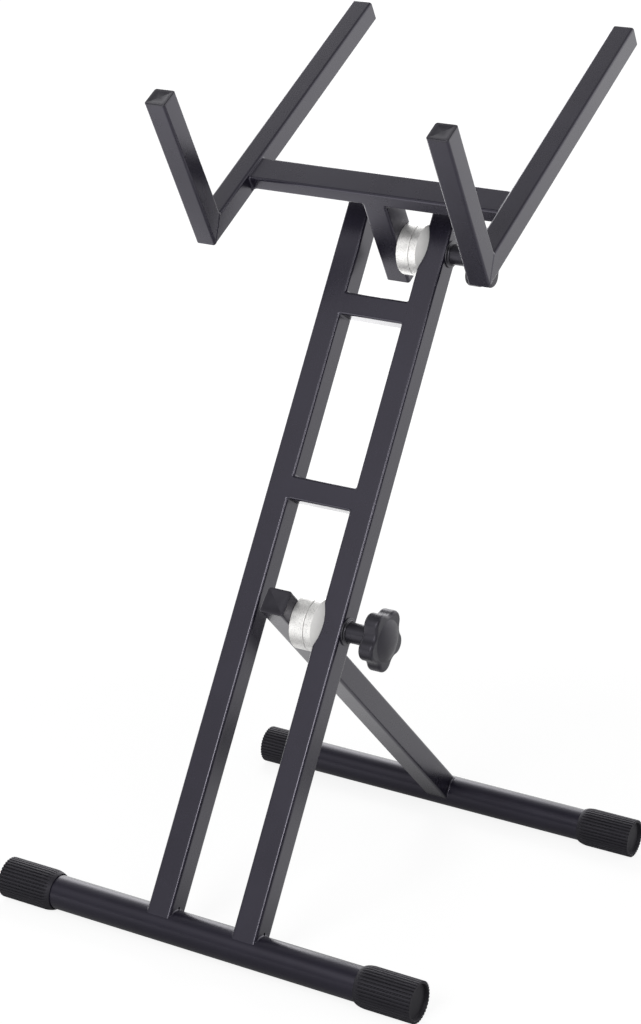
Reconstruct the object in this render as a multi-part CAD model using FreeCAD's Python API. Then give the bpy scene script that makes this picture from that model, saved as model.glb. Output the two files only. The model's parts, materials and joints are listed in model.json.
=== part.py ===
"""Folding mixer stand: a leaning ladder frame, a folding rear leg and a tilting V cradle.

Millimetres. +X is the stand's right side as a person in front of it sees it, +Y its back, +Z up.
The origin lies on the floor, midway between the front foot and the rear foot.
"""
import FreeCAD
import Part
import math
import os

V = FreeCAD.Vector
X_AXIS = V(1, 0, 0)
Y_AXIS = V(0, 1, 0)
Z_AXIS = V(0, 0, 1)

# Steel tubes
upright_side = 25.0
upright_wall = 1.5
upright_pitch = 91.0
rung_side = 22.0
rung_wall = 1.5
leg_side = 25.0
leg_wall = 1.5
arm_side = 22.0
arm_wall = 1.5
cross_depth = 30.0
cross_height = 15.0
cross_wall = 1.5
stem_width = 25.0
stem_depth = 30.0
stem_wall = 1.5
tube_corner = 2.0
foot_diameter = 31.5
foot_wall = 1.5

# Ladder frame: heights run up the uprights from the front foot's axis
ladder_lean = 25.5
upright_forward = 2.0
middle_rung_height = 412.9
upper_rung_height = 594.9
lower_pivot_height = 295.0
upper_pivot_height = 660.0
upright_overhang = 34.0
front_foot_length = 438.0

# Rear leg
leg_length = 427.0
leg_overhang = 36.0
rear_foot_length = 432.0

# Cradle
cradle_slope = 35.2
cradle_width = 310.0
stem_rise = 63.5
stem_drop = 30.0
arm_back = 92.0
arm_length = 344.0
lip_length = 167.0

# Rubber end caps: depths are radial
cap_diameter = 37.8
cap_length = 57.0
cap_end_wall = 4.0
cap_end_recess = 3.0
cap_rib_count = 36
cap_rib_depth = 0.9
cap_rib_share = 0.45
cap_groove_share = 0.15
cap_taper_length = 9.0
cap_taper_depth = 0.7
cap_mouth_bevel = 3.0
cap_mouth_depth = 1.5
cap_flare_length = 2.0
cap_flare_depth = 0.5
cap_rim_chamfer = 0.8
cap_disc_diameter = 31.0
cap_recess_draft = 0.7

# Plastic tube plugs
plug_flange = 2.0
plug_depth = 8.0
plug_wall = 2.0
plug_edge_round = 0.8
plug_panel_margin = 3.5
plug_panel_depth = 0.5

# Toothed clutch rosettes
rosette_diameter = 50.0
lower_rosette_thickness = 14.6
upper_rosette_thickness = 12.8
fixed_rim_width = 7.6
clutch_gap = 0.3
dome_depth = 6.9
rosette_chamfer = 0.4
moving_boss_side = 15.0
tooth_count = 36
tooth_depth = 1.4
tooth_land = 0.35
tooth_inner_diameter = 24.0
tooth_outer_diameter = 45.0

# Clamp bolts, washers and star knobs: a phase turns a knob's lobes from the uprights' direction
bolt_diameter = 10.0
bolt_head_diameter = 22.0
bolt_head_height = 5.0
bolt_thread_length = 22.0
bolt_neck_side = 10.5
washer_diameter = 26.0
washer_thickness = 2.4
washer_dish = 1.0
knob_hub_diameter = 19.0
knob_hub_length = 24.5
knob_diameter = 59.0
knob_lobes = 5
lower_knob_phase = 13.5
upper_knob_phase = 56.0
knob_lobe_radius = 11.0
knob_waist_diameter = 46.5
knob_head_thickness = 15.0
knob_edge_round = 3.0
knob_dome_diameter = 40.0
knob_dome_height = 5.0
insert_diameter = 14.0
insert_length = 26.0

# Clearances
fit = 0.1
recess_clearance = 0.25
running_clearance = 0.08
bolt_hole_clearance = 0.4
knob_gap = 0.1
overcut = 1.0

# Derived places
cap_radius = cap_diameter / 2
foot_radius = foot_diameter / 2
rosette_radius = rosette_diameter / 2
bolt_radius = bolt_diameter / 2
upright_x = upright_pitch / 2
upright_length = upper_pivot_height + upright_overhang
inner_face_x = upright_x - upright_side / 2
outer_face_x = upright_x + upright_side / 2
seam_right_x = inner_face_x - fixed_rim_width
seam_left_x = seam_right_x - clutch_gap
leg_right_x = seam_left_x - lower_rosette_thickness
stem_right_x = seam_left_x - upper_rosette_thickness
knob_start_x = outer_face_x + washer_thickness + knob_gap
head_start_x = knob_start_x + knob_hub_length
bolt_end_x = knob_start_x + bolt_thread_length
arm_inner_x = cradle_width / 2 - arm_side

lean = math.radians(ladder_lean)
pivot_from_foot_y = lower_pivot_height * math.sin(lean) - upright_forward * math.cos(lean)
pivot_from_foot_z = lower_pivot_height * math.cos(lean) + upright_forward * math.sin(lean)
leg_run = math.sqrt(leg_length ** 2 - pivot_from_foot_z ** 2)
foot_spacing = pivot_from_foot_y + leg_run
leg_slope = math.degrees(math.atan2(pivot_from_foot_z, leg_run))
front_foot_axis = V(0, -foot_spacing / 2, cap_radius)
rear_foot_axis = V(0, foot_spacing / 2, cap_radius)

# Frames: the ladder's z runs up the uprights, the leg's z up the leg, the cradle's y out along its arms
ladder_turn = FreeCAD.Rotation(X_AXIS, -ladder_lean)
ladder_frame = FreeCAD.Placement(front_foot_axis, ladder_turn)
lower_pivot = ladder_frame.multVec(V(0, -upright_forward, lower_pivot_height))
upper_pivot = ladder_frame.multVec(V(0, -upright_forward, upper_pivot_height))
fixed_frames = {
    "lower": FreeCAD.Placement(lower_pivot, ladder_turn),
    "upper": FreeCAD.Placement(upper_pivot, ladder_turn),
}
leg_frame = FreeCAD.Placement(lower_pivot, FreeCAD.Rotation(X_AXIS, 90 - leg_slope))
cradle_frame = FreeCAD.Placement(upper_pivot, FreeCAD.Rotation(X_AXIS, cradle_slope))

# The cradle's heights above its pivot, square to the arms
cross_bottom = stem_rise
arm_bottom = cross_bottom + (cross_height - arm_side) / 2
corner_y = -arm_back


def placed(shape, placement):
    """Copy of a shape carried from its own frame to the stand's frame."""
    moved = shape.copy()
    moved.Placement = placement.multiply(shape.Placement)
    return moved


def shifted(shape, offset, rotation=None):
    """Copy of a shape turned about its origin and then moved by an offset."""
    turn = rotation if rotation else FreeCAD.Rotation()
    return placed(shape, FreeCAD.Placement(offset, turn))


def square_bar(width, depth, length, radius):
    """Bar on the z axis, from z = 0, with its four long edges rounded."""
    box = Part.makeBox(width, depth, length, V(-width / 2, -depth / 2, 0))
    if radius <= 0:
        return box
    long_edges = [edge for edge in box.Edges if edge.BoundBox.ZLength > length / 2]
    return box.makeFillet(radius, long_edges)


def square_tube(width, depth, length, wall):
    """Hollow rectangular tube on the z axis, from z = 0."""
    outer = square_bar(width, depth, length, tube_corner)
    bore_corner = max(tube_corner - wall, 0)
    bore = square_bar(width - 2 * wall, depth - 2 * wall, length + 2 * overcut, bore_corner)
    return outer.cut(shifted(bore, V(0, 0, -overcut)))


def cylinder_x(radius, start, end):
    """Cylinder along X between two places on the x axis."""
    return Part.makeCylinder(radius, end - start, V(start, 0, 0), X_AXIS)


def square_block(side, start, end):
    """Square bar along X between two places on the x axis."""
    return Part.makeBox(end - start, side, side, V(start, -side / 2, -side / 2))


def revolved_x(points):
    """Solid turned about the x axis from a closed outline of (x, radius) points."""
    outline = [V(x, 0, radius) for x, radius in points]
    wire = Part.makePolygon(outline + outline[:1])
    return Part.Face(wire).revolve(V(), X_AXIS, 360)


def dome_solid(radius, depth, start, base):
    """Cylinder from base to start that ends in a shallow spherical dome of the given depth."""
    sphere_radius = (radius ** 2 + depth ** 2) / (2 * depth)
    centre_x = start + depth - sphere_radius
    half_angle = math.asin(radius / sphere_radius) / 2
    middle = V(centre_x + sphere_radius * math.cos(half_angle), 0, sphere_radius * math.sin(half_angle))
    rim = V(start, 0, radius)
    tip = V(start + depth, 0, 0)
    outline = Part.Wire([
        Part.makeLine(V(base, 0, 0), V(base, 0, radius)),
        Part.makeLine(V(base, 0, radius), rim),
        Part.Arc(rim, middle, tip).toShape(),
        Part.makeLine(tip, V(base, 0, 0)),
    ])
    return Part.Face(outline).revolve(V(), X_AXIS, 360)


def tooth_groove(face_x, direction):
    """One radial V groove in a clutch face, wider and deeper towards the rim."""
    sections = []
    for diameter in (tooth_inner_diameter, tooth_outer_diameter):
        radius = diameter / 2
        half_width = math.pi * radius / tooth_count - tooth_land / 2
        depth = tooth_depth * diameter / tooth_outer_diameter
        above = half_width * overcut / depth
        top_x = face_x - direction * overcut
        corners = [
            V(top_x, -half_width - above, radius),
            V(top_x, half_width + above, radius),
            V(face_x + direction * depth, 0, radius),
        ]
        sections.append(Part.makePolygon(corners + corners[:1]))
    return Part.makeLoft(sections, True, True)


def toothed(blank, face_x, direction):
    """Rosette blank with the ring of radial teeth cut into its clutch face."""
    groove = tooth_groove(face_x, direction)
    grooves = []
    for index in range(tooth_count):
        turn = FreeCAD.Rotation(X_AXIS, 360 * index / tooth_count)
        grooves.append(shifted(groove, V(), turn))
    return blank.cut(grooves)


def moving_rosette(left_x, tube_width, wall):
    """Clutch disc whose square boss goes through one tube wall and rests on the wall opposite."""
    disc = revolved_x([
        (left_x, 0),
        (left_x, rosette_radius - rosette_chamfer),
        (left_x + rosette_chamfer, rosette_radius),
        (seam_left_x - rosette_chamfer, rosette_radius),
        (seam_left_x, rosette_radius - rosette_chamfer),
        (seam_left_x, 0),
    ])
    boss_start_x = left_x - tube_width + wall
    boss = square_block(moving_boss_side, boss_start_x, left_x)
    bore = cylinder_x(bolt_radius + fit, boss_start_x - overcut, seam_left_x + overcut)
    return toothed(disc.fuse(boss).removeSplitter().cut(bore), seam_left_x, -1)


def fixed_rosette():
    """Clutch disc with a domed back and a square boss that spans the upright's bore."""
    disc = dome_solid(rosette_radius, dome_depth, inner_face_x, seam_right_x)
    edge = revolved_x([
        (seam_right_x - overcut, rosette_radius - rosette_chamfer),
        (seam_right_x, rosette_radius - rosette_chamfer),
        (seam_right_x + rosette_chamfer, rosette_radius),
        (seam_right_x + rosette_chamfer, rosette_radius + overcut),
        (seam_right_x - overcut, rosette_radius + overcut),
    ])
    boss_side = upright_side - 2 * max(upright_wall, tube_corner) - 2 * fit
    boss_end_x = outer_face_x - upright_wall
    boss = square_block(boss_side, inner_face_x, boss_end_x)
    bore = cylinder_x(bolt_radius + running_clearance, seam_right_x - overcut, boss_end_x + overcut)
    blank = disc.fuse(boss).removeSplitter().cut([edge, bore])
    return toothed(blank, seam_right_x, 1)


def pivot_bolt(head_x, wall):
    """Round-headed clamp bolt with a square neck, from a tube's left face into the knob's insert."""
    head_radius = bolt_head_diameter / 2
    head = dome_solid(head_radius, bolt_head_height, 0, -fit)
    head = shifted(head, V(head_x - fit, 0, 0), FreeCAD.Rotation(Z_AXIS, 180))
    neck = square_block(bolt_neck_side, head_x - overcut, head_x + wall)
    shank = cylinder_x(bolt_radius, head_x - overcut, bolt_end_x)
    return head.fuse([neck, shank]).removeSplitter()


def clamp_washer():
    """Dished washer between the right upright and a knob's hub."""
    outer = washer_diameter / 2
    bore = bolt_radius + bolt_hole_clearance
    seat = knob_hub_diameter / 2
    top_x = outer_face_x + washer_thickness
    return revolved_x([
        (outer_face_x, bore),
        (outer_face_x, outer),
        (top_x - washer_dish, outer),
        (top_x, seat),
        (top_x, bore),
    ])


def star_wire(x, phase):
    """Closed lobed outline in the plane at x: round lobes, the first at the phase, and tangent hollows."""
    lobe_centre = knob_diameter / 2 - knob_lobe_radius
    waist = knob_waist_diameter / 2
    half_pitch = math.pi / knob_lobes
    chord = lobe_centre * math.cos(half_pitch)
    gap = lobe_centre ** 2 + waist ** 2 - 2 * waist * chord - knob_lobe_radius ** 2
    hollow = gap / (2 * (knob_lobe_radius + chord - waist))
    hollow_centre = waist + hollow

    def point(radius, angle):
        return V(x, radius * math.sin(angle), radius * math.cos(angle))

    def between(angle_lobe, angle_hollow):
        lobe = point(lobe_centre, angle_lobe)
        share = knob_lobe_radius / (knob_lobe_radius + hollow)
        return lobe + (point(hollow_centre, angle_hollow) - lobe) * share

    edges = []
    for index in range(knob_lobes):
        angle = math.radians(phase) + 2 * half_pitch * index
        start = between(angle, angle - half_pitch)
        end = between(angle, angle + half_pitch)
        following = between(angle + 2 * half_pitch, angle + half_pitch)
        edges.append(Part.Arc(start, point(knob_diameter / 2, angle), end).toShape())
        edges.append(Part.Arc(end, point(waist, angle + half_pitch), following).toShape())
    return Part.Wire(edges)


def star_knob(phase):
    """Lobed clamp knob with a domed front, a long hub and a pocket for its threaded insert."""
    end_x = head_start_x + knob_head_thickness
    head = Part.Face(star_wire(head_start_x, phase)).extrude(V(knob_head_thickness, 0, 0))
    end_edges = [edge for edge in head.Edges if edge.BoundBox.XLength < overcut]
    head = head.makeFillet(knob_edge_round, end_edges)
    dome = dome_solid(knob_dome_diameter / 2, knob_dome_height, end_x, end_x - knob_edge_round)
    hub = cylinder_x(knob_hub_diameter / 2, knob_start_x, head_start_x + knob_edge_round)
    pocket = cylinder_x(insert_diameter / 2, knob_start_x - overcut, knob_start_x + insert_length)
    return head.fuse([dome, hub]).removeSplitter().cut(pocket)


def knob_insert():
    """Threaded steel sleeve moulded into a knob's hub."""
    sleeve = cylinder_x(insert_diameter / 2, knob_start_x, knob_start_x + insert_length)
    bore = cylinder_x(bolt_radius + running_clearance, knob_start_x - overcut,
                      knob_start_x + insert_length + overcut)
    return sleeve.cut(bore)


def tube_plug(width, depth, wall):
    """Plastic plug on the z axis: a flange over the tube's end at z = 0 and a hollow shank inside."""
    flange = square_bar(width, depth, plug_flange, tube_corner)
    rim = [edge for edge in flange.Edges if edge.BoundBox.ZMin > plug_flange / 2]
    flange = flange.makeFillet(plug_edge_round, rim)
    panel = Part.makeBox(width - 2 * plug_panel_margin, depth - 2 * plug_panel_margin, plug_flange,
                         V(plug_panel_margin - width / 2, plug_panel_margin - depth / 2,
                           plug_flange - plug_panel_depth))
    inner_width = width - 2 * wall - 2 * fit
    inner_depth = depth - 2 * wall - 2 * fit
    shank = square_bar(inner_width, inner_depth, plug_depth, max(tube_corner - wall, 0))
    hollow = square_bar(inner_width - 2 * plug_wall, inner_depth - 2 * plug_wall, plug_depth, 0)
    shank = shifted(shank.cut(hollow), V(0, 0, -plug_depth))
    return flange.cut(panel).fuse(shank).removeSplitter()


def rib_prism():
    """Prism along X whose section has the end cap's ribs and grooves.

    Each pitch holds a groove floor, a flank, a rib's crown and the other flank.
    """
    root_radius = cap_radius - cap_rib_depth
    pitch = 2 * math.pi / cap_rib_count
    flank_share = (1 - cap_rib_share - cap_groove_share) / 2
    rib_start = cap_groove_share + flank_share
    section = (
        (0, root_radius),
        (cap_groove_share, root_radius),
        (rib_start, cap_radius),
        (rib_start + cap_rib_share, cap_radius),
    )
    corners = []
    for index in range(cap_rib_count):
        for share, radius in section:
            angle = pitch * (index + share)
            corners.append(V(0, radius * math.sin(angle), radius * math.cos(angle)))
    wire = Part.makePolygon(corners + corners[:1])
    return Part.Face(wire).extrude(V(cap_length, 0, 0))


def end_cap():
    """Ribbed rubber cap along X: its tapered mouth at x = 0, its closed, recessed end at x = cap_length."""
    taper_radius = cap_radius - cap_taper_depth
    envelope = revolved_x([
        (0, 0),
        (0, taper_radius - cap_mouth_depth),
        (cap_mouth_bevel, taper_radius),
        (cap_taper_length, cap_radius),
        (cap_length - cap_rim_chamfer, cap_radius),
        (cap_length, cap_radius - cap_rim_chamfer),
        (cap_length, 0),
    ])
    disc_radius = cap_disc_diameter / 2
    disc_x = cap_length - cap_end_recess
    recess = revolved_x([
        (disc_x, 0),
        (disc_x, disc_radius),
        (cap_length, disc_radius + cap_recess_draft),
        (cap_length + overcut, disc_radius + cap_recess_draft),
        (cap_length + overcut, 0),
    ])
    socket_radius = foot_radius + fit
    socket = revolved_x([
        (-overcut, 0),
        (-overcut, socket_radius + cap_flare_depth),
        (0, socket_radius + cap_flare_depth),
        (cap_flare_length, socket_radius),
        (disc_x - cap_end_wall, socket_radius),
        (disc_x - cap_end_wall, 0),
    ])
    return rib_prism().common(envelope).cut([recess, socket])


def foot_pieces(axis, length):
    """Round foot tube along X and its left and right caps, in the stand's frame."""
    half = length / 2
    tube_half = half - cap_end_wall - cap_end_recess
    tube = cylinder_x(foot_radius, -tube_half, tube_half)
    bore = cylinder_x(foot_radius - foot_wall, -half, half)
    cap = end_cap()
    right_cap = shifted(cap, axis + V(half - cap_length, 0, 0))
    left_cap = shifted(cap, axis + V(cap_length - half, 0, 0), FreeCAD.Rotation(Z_AXIS, 180))
    return shifted(tube.cut(bore), axis), left_cap, right_cap


def ladder_pieces():
    """Front foot, uprights, rungs and what is fixed to them."""
    foot, left_cap, right_cap = foot_pieces(front_foot_axis, front_foot_length)
    tube = square_tube(upright_side, upright_side, upright_length, upright_wall)
    seat = cylinder_x(foot_radius + fit, -front_foot_length / 2, front_foot_length / 2)
    left = shifted(tube, V(-upright_x, -upright_forward, 0)).cut(seat)
    right = shifted(tube, V(upright_x, -upright_forward, 0)).cut(seat)
    for height in (lower_pivot_height, upper_pivot_height):
        pivot = V(0, -upright_forward, height)
        recess = dome_solid(rosette_radius + recess_clearance, dome_depth + recess_clearance,
                            inner_face_x, inner_face_x - overcut)
        hole = cylinder_x(bolt_radius + bolt_hole_clearance, upright_x, outer_face_x + overcut)
        right = right.cut([shifted(recess, pivot), shifted(hole, pivot)])
    rung = square_tube(rung_side, rung_side, 2 * inner_face_x, rung_wall)
    rung = shifted(rung, V(-inner_face_x, 0, 0), FreeCAD.Rotation(Y_AXIS, 90))
    rung_y = -upright_forward - upright_side / 2 + rung_side / 2
    plug = tube_plug(upright_side, upright_side, upright_wall)
    pieces = {
        "left_upright": left,
        "right_upright": right,
        "middle_rung": shifted(rung, V(0, rung_y, middle_rung_height)),
        "upper_rung": shifted(rung, V(0, rung_y, upper_rung_height)),
        "left_upright_plug": shifted(plug, V(-upright_x, -upright_forward, upright_length)),
        "right_upright_plug": shifted(plug, V(upright_x, -upright_forward, upright_length)),
    }
    pieces = {name: placed(shape, ladder_frame) for name, shape in pieces.items()}
    pieces["front_foot_tube"] = foot
    pieces["front_left_cap"] = left_cap
    pieces["front_right_cap"] = right_cap
    for level, frame in fixed_frames.items():
        pieces[level + "_fixed_rosette"] = placed(fixed_rosette(), frame)
        pieces[level + "_washer"] = placed(clamp_washer(), frame)
    return pieces


def pierced(tube, left_face_x, right_face_x, wall):
    """Tube with square holes for the rosette's boss in its right wall and the bolt's neck in its left."""
    window = square_block(moving_boss_side + 2 * fit, right_face_x - wall - overcut, right_face_x + overcut)
    hole = square_block(bolt_neck_side + 2 * fit, left_face_x - overcut, left_face_x + wall + overcut)
    return tube.cut([window, hole])


def leg_pieces():
    """Rear leg with its foot, rosette and bolt."""
    left_face_x = leg_right_x - leg_side
    leg_x = leg_right_x - leg_side / 2
    tube = square_tube(leg_side, leg_side, leg_length + leg_overhang, leg_wall)
    tube = shifted(tube, V(leg_x, 0, -leg_length))
    seat = cylinder_x(foot_radius + fit, -rear_foot_length / 2, rear_foot_length / 2)
    seat = shifted(seat, V(0, 0, -leg_length))
    plug = tube_plug(leg_side, leg_side, leg_wall)
    pieces = {
        "leg_tube": pierced(tube.cut(seat), left_face_x, leg_right_x, leg_wall),
        "leg_plug": shifted(plug, V(leg_x, 0, leg_overhang)),
        "lower_moving_rosette": moving_rosette(leg_right_x, leg_side, leg_wall),
        "lower_pivot_bolt": pivot_bolt(left_face_x, leg_wall),
    }
    pieces = {name: placed(shape, leg_frame) for name, shape in pieces.items()}
    foot, left_cap, right_cap = foot_pieces(rear_foot_axis, rear_foot_length)
    pieces["rear_foot_tube"] = foot
    pieces["rear_left_cap"] = left_cap
    pieces["rear_right_cap"] = right_cap
    return pieces


def mitre_wedge(above):
    """Prism that trims a V arm's tube at its corner: the side above or below the 45 degree mitre."""
    low = V(0, corner_y - overcut, arm_bottom - overcut)
    high = V(0, corner_y + arm_side + overcut, arm_bottom + arm_side + overcut)
    far = V(0, low.y, high.z) if above else V(0, high.y, low.z)
    wire = Part.makePolygon([low, far, high, low])
    return shifted(Part.Face(wire).extrude(V(cradle_width, 0, 0)), V(-cradle_width / 2, 0, 0))


def v_arm(centre_x):
    """Long arm and lip of one V, mitred at the corner, with their plugs, in the cradle's frame."""
    middle = arm_side / 2
    arm_turn = FreeCAD.Rotation(X_AXIS, -90)
    arm = square_tube(arm_side, arm_side, arm_length, arm_wall)
    arm = shifted(arm, V(centre_x, corner_y, arm_bottom + middle), arm_turn)
    lip = square_tube(arm_side, arm_side, lip_length, arm_wall)
    lip = shifted(lip, V(centre_x, corner_y + middle, arm_bottom))
    plug = tube_plug(arm_side, arm_side, arm_wall)
    arm_plug = shifted(plug, V(centre_x, corner_y + arm_length, arm_bottom + middle), arm_turn)
    lip_plug = shifted(plug, V(centre_x, corner_y + middle, arm_bottom + lip_length))
    return arm.cut(mitre_wedge(True)), lip.cut(mitre_wedge(False)), arm_plug, lip_plug


def cradle_pieces():
    """Two V arms on a cross tube, and the stem that carries them on the upper clutch."""
    pieces = {}
    for side, sign in (("left", -1), ("right", 1)):
        names = ("_arm", "_lip", "_arm_plug", "_lip_plug")
        for name, shape in zip(names, v_arm(sign * (arm_inner_x + arm_side / 2))):
            pieces[side + name] = shape
    cross = square_tube(cross_height, cross_depth, 2 * arm_inner_x, cross_wall)
    cross = shifted(cross, V(-arm_inner_x, 0, cross_bottom + cross_height / 2), FreeCAD.Rotation(Y_AXIS, 90))
    left_face_x = stem_right_x - stem_width
    stem_x = stem_right_x - stem_width / 2
    stem = square_tube(stem_width, stem_depth, stem_drop + stem_rise, stem_wall)
    stem = shifted(stem, V(stem_x, 0, -stem_drop))
    plug = tube_plug(stem_width, stem_depth, stem_wall)
    pieces["cross_tube"] = cross
    pieces["tilt_stem"] = pierced(stem, left_face_x, stem_right_x, stem_wall)
    pieces["tilt_stem_plug"] = shifted(plug, V(stem_x, 0, -stem_drop), FreeCAD.Rotation(X_AXIS, 180))
    pieces["upper_moving_rosette"] = moving_rosette(stem_right_x, stem_width, stem_wall)
    pieces["upper_pivot_bolt"] = pivot_bolt(left_face_x, stem_wall)
    return {name: placed(shape, cradle_frame) for name, shape in pieces.items()}


def knob_pieces():
    """The two clamp knobs with their inserts, on the pivot axes."""
    pieces = {}
    phases = {"lower": lower_knob_phase, "upper": upper_knob_phase}
    for level, frame in fixed_frames.items():
        pieces[level + "_knob"] = placed(star_knob(phases[level]), frame)
        pieces[level + "_knob_insert"] = placed(knob_insert(), frame)
    return pieces


def main():
    """Build every piece and write one file for each."""
    pieces = {}
    for group in (ladder_pieces(), leg_pieces(), cradle_pieces(), knob_pieces()):
        pieces.update(group)
    os.makedirs("parts", exist_ok=True)
    for name, shape in pieces.items():
        shape.exportStep("parts/" + name + ".step")


main()
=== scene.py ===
"""Folding mixer stand: satin black tubes, toothed aluminium clutches, star knobs and ribbed rubber feet.

Metres, in the stand's own frame: +X is its right side as a person in front of it sees it, +Y its back, +Z up.
"""
import json
import math
from collections import namedtuple

import bmesh
import bpy
import numpy as np
from bpy.props import FloatProperty, FloatVectorProperty, IntProperty, PointerProperty
from mathutils import Matrix, Vector


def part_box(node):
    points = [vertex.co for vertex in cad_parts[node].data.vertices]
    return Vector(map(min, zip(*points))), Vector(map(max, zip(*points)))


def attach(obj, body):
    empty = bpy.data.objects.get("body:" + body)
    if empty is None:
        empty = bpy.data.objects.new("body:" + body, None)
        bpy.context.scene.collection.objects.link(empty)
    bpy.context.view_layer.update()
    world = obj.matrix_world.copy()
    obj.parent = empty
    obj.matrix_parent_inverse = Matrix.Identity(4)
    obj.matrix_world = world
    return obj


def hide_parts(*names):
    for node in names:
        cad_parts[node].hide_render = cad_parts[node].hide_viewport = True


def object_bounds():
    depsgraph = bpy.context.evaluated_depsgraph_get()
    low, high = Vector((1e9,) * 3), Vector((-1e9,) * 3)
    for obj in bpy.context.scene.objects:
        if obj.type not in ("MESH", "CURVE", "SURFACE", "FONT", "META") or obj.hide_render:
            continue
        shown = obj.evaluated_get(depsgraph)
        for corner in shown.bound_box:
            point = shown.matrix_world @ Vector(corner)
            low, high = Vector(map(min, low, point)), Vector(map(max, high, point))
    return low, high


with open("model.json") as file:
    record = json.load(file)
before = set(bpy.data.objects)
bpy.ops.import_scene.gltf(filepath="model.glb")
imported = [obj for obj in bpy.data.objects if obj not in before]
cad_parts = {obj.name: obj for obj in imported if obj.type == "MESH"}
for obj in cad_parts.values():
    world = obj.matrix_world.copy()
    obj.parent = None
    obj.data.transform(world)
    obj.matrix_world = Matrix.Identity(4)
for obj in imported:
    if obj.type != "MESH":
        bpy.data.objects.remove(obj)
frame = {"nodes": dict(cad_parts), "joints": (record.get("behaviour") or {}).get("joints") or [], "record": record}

CAD_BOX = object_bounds()

bl_info = {
    "name": "Mixer stand",
    "version": (1, 0, 0),
    "blender": (4, 5, 0),
    "location": "3D View > Sidebar > Mixer stand",
    "description": "Dresses the folding mixer stand in coated tube, aluminium, plastic and rubber",
    "category": "Add Mesh",
}

MM = 0.001
MERGE_DISTANCE = 0.002 * MM
SHARP_ANGLE = math.radians(32)
QUARTER = math.pi / 2
FULL_TURN = 2 * math.pi
COOL_GLOSS = (0.90, 0.865, 1.0, 1.0)
SIDES = {"left": -1, "right": 1}
LEVELS = ("lower", "upper")

# Grid steps round a turned piece, a foot tube, a drain hole, a rib, a tooth and the floor
ROUND_STEPS = 96
FOOT_STEPS = 128
DRAIN_STEPS = 32
RIB_STEPS = 12
TOOTH_STEPS = 8
FLOOR_STEPS = 64

# Grid steps along a flat that a saddle cuts, and points along a foot tube, a cap and a dome
SADDLE_STEPS = 12
FOOT_POINTS = 9
CAP_POINTS = 8
DOME_POINTS = 14

# Lamps: place and side length
LAMPS = {
    "key": ((0.15, -2.15, 1.3), 0.8),
    "side": ((1.36, -1.32, 1.5), 0.8),
    "back_fill": ((-1.25, 1.6, 1.55), 1.2),
}


# Places on the stand

class LocalFrame:
    """A right-handed set of axes on the stand, in which a piece stands square."""

    def __init__(self, origin, axes):
        self.origin = np.asarray(origin, float)
        self.axes = np.asarray(axes, float)

    def outward(self, points):
        """Points of this frame in the stand's frame."""
        return points @ self.axes + self.origin

    def inward(self, points):
        """Points of the stand's frame in this frame."""
        return (points - self.origin) @ self.axes.T

    def along(self, letter):
        """The same place with z turned to run along this frame's x or y."""
        order = {"x": [1, 2, 0], "y": [2, 0, 1]}[letter]
        return LocalFrame(self.origin, self.axes[order])

    def extent(self, node):
        """Lowest and highest corner of a node in this frame."""
        mesh = frame["nodes"][node].data
        points = np.empty(3 * len(mesh.vertices), np.float32)
        mesh.vertices.foreach_get("co", points)
        local = self.inward(points.reshape(-1, 3).astype(float))
        return local.min(axis=0), local.max(axis=0)


def leaning_frame(origin, up):
    """Frame at a place whose x is the stand's and whose z runs along up."""
    x_axis = np.array((1.0, 0.0, 0.0))
    z_axis = np.asarray(up, float) / np.linalg.norm(up)
    return LocalFrame(origin, (x_axis, np.cross(z_axis, x_axis), z_axis))


def box_centre(node):
    """Centre of a node's box."""
    low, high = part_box(node)
    return np.array((low + high) / 2)


def foot_radius(node):
    """Outer radius of a round foot tube."""
    low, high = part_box(node)
    return (high.z - low.z) / 2


JOINTS = {joint["name"]: joint for joint in frame["joints"]}
MOUNTS = {mount["name"]: mount for mount in frame["record"]["mounts"]}
BODY_OF = {node: body for body, nodes in frame["record"]["behaviour"]["bodies"].items() for node in nodes}
LOWER_PIVOT = np.array(JOINTS["leg_fold"]["pos_m"])
UPPER_PIVOT = np.array(JOINTS["cradle_tilt"]["pos_m"])
FRONT_AXIS = box_centre("front_foot_tube")
REAR_AXIS = box_centre("rear_foot_tube")
FRONT_RADIUS = foot_radius("front_foot_tube")
REAR_RADIUS = foot_radius("rear_foot_tube")
STAND = LocalFrame((0, 0, 0), np.eye(3))
LADDER = leaning_frame(FRONT_AXIS, UPPER_PIVOT - LOWER_PIVOT)
LEG = leaning_frame(LOWER_PIVOT, LOWER_PIVOT - REAR_AXIS)
CRADLE = leaning_frame(UPPER_PIVOT, MOUNTS["left_arm_rest"]["axis"])
RUNGS = LADDER.along("x")
CROSS = CRADLE.along("x")
ARMS = CRADLE.along("y")
TUBES = {
    "left_upright": LADDER, "right_upright": LADDER, "middle_rung": RUNGS, "upper_rung": RUNGS,
    "leg_tube": LEG, "cross_tube": CROSS, "tilt_stem": CRADLE,
    "left_arm": ARMS, "left_lip": CRADLE, "right_arm": ARMS, "right_lip": CRADLE,
}
CLUTCHES = {"lower": LocalFrame(LOWER_PIVOT, LADDER.axes), "upper": LocalFrame(UPPER_PIVOT, LADDER.axes)}
CLUTCH_TUBES = {"lower": "leg_tube", "upper": "tilt_stem"}

# Where the right upright's inner and outer walls are on x
INNER_WALL, OUTER_WALL = (corner[0] for corner in LADDER.extent("right_upright"))

# Height of the foot's axis in a standing tube's frame, and the foot's radius
SADDLES = {
    "left_upright": (0, FRONT_RADIUS), "right_upright": (0, FRONT_RADIUS),
    "leg_tube": (LEG.inward(REAR_AXIS)[2], REAR_RADIUS),
}


# Settings that a user would change

def number(name, description, default, **kind):
    """Number property."""
    return FloatProperty(name=name, description=description, default=default, **kind)


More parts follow.
